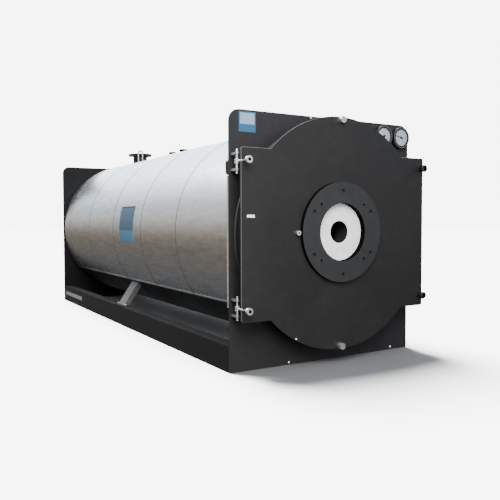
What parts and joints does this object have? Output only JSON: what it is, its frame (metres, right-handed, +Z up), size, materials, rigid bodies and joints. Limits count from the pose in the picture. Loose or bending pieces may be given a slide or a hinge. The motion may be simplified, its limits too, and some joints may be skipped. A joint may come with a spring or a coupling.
{
  "type": "industrial boiler",
  "caption": "Horizontal cylindrical hot-water boiler in sheet-metal cladding between two end plates on base rails, with a hinged front door, burner flange, top outlet and rear flue.",
  "frame": {"origin": "on the floor, under the middle of the boiler's length and width", "axes": "+Z up, -Y towards the front door, +X towards the door's closing side (right, seen from the front)"},
  "size_m": [1.633, 4.905, 1.8589],
  "materials": {
    "black_frame": "satin black paint",
    "black_door": "satin black paint",
    "aluminium_cladding": "bright rolled sheet",
    "raw_steel": "mill scale",
    "door_seal": "white braided rope",
    "refractory": "cast refractory",
    "ceramic_fibre": "white ceramic fibre",
    "zinc_fittings": "zinc plated",
    "black_bolts": "painted black",
    "red_primer": "dark primer",
    "loop_steel": "bare bar",
    "gauge": "white dial in a bright bezel"
  },
  "bodies": {
    "boiler": {"front_plate": "black_frame", "rear_plate": "black_frame", "base_rail_left": "black_frame", "base_rail_right": "black_frame", "strut_left": "black_frame", "strut_right": "black_frame", "pressure_shell": "raw_steel", "front_tube_plate": "raw_steel", "rear_tube_plate": "raw_steel", "furnace_tube": "raw_steel", "cladding_band_1": "aluminium_cladding", "cladding_band_2": "aluminium_cladding", "cladding_band_3": "aluminium_cladding", "cladding_band_4": "aluminium_cladding", "cladding_band_5": "aluminium_cladding", "cladding_band_6": "aluminium_cladding", "cladding_end_ring": "aluminium_cladding", "underside_cover": "black_frame", "edge_trim_left": "aluminium_cladding", "edge_trim_right": "aluminium_cladding", "front_drum": "black_frame", "upper_hinge_lugs": "black_frame", "upper_hinge_pin": "zinc_fittings", "lower_hinge_lugs": "black_frame", "lower_hinge_pin": "zinc_fittings", "closing_bosses": "black_frame", "gauge_left": "gauge", "gauge_right": "gauge", "outlet_nozzle": "red_primer", "crown_socket_1": "zinc_fittings", "crown_socket_2": "zinc_fittings", "lifting_loops": "loop_steel", "rear_smokebox": "black_frame", "flue_outlet": "black_frame"},
    "door": {"door_plate": "black_door", "door_seal": "door_seal", "door_lining": "refractory", "burner_flange": "black_door", "burner_insulation": "ceramic_fibre", "peep_sight": "zinc_fittings", "upper_hinge_bolt": "zinc_fittings", "lower_hinge_bolt": "zinc_fittings", "closing_bolts_right": "black_bolts", "closing_bolts_centre": "zinc_fittings"}
  },
  "joints": [
    {"name": "front_door", "type": "hinge", "parent": "boiler", "child": "door", "pos_m": [-0.795, -2.2975, 0.92], "axis": [0, 0, -1], "range_deg": [0, 105]}
  ]
}
